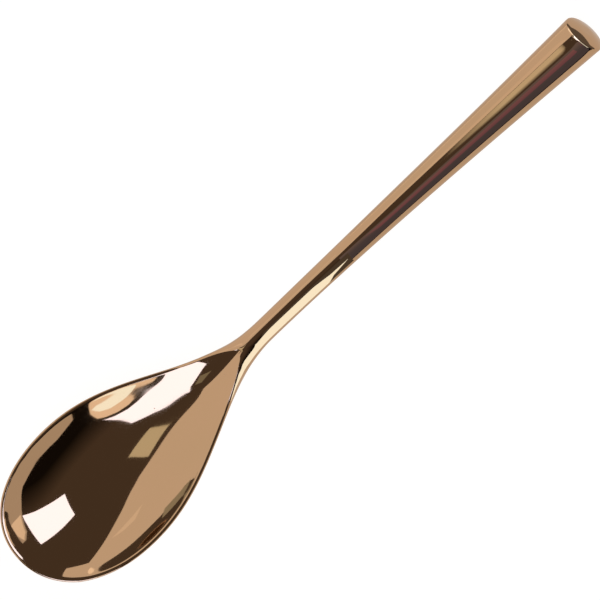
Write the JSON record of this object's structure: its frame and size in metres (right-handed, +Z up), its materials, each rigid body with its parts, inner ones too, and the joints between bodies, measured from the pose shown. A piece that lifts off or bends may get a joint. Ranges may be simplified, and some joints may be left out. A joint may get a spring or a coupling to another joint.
{
  "type": "coffee spoon",
  "caption": "Coffee spoon with an egg-shaped bowl, a slim stem and a hollow round handle that flares to a slanted end, mirror-polished in a copper colour.",
  "frame": {"origin": "on the table under the middle of the spoon's length and width, as it lies on the bowl's underside and the handle's end", "axes": "+X from the bowl's tip to the handle's end, +Z up out of the bowl, +Y to the left seen from above with the handle pointing away"},
  "size_m": [0.1348, 0.0284, 0.0078],
  "materials": {
    "polished_copper": "polished",
    "handle_cement": "matte"
  },
  "bodies": {
    "root": {"bowl_and_stem": "polished_copper", "handle_top_shell": "polished_copper", "handle_bottom_shell": "polished_copper", "end_plate": "polished_copper", "handle_filler": "handle_cement"}
  },
  "joints": []
}
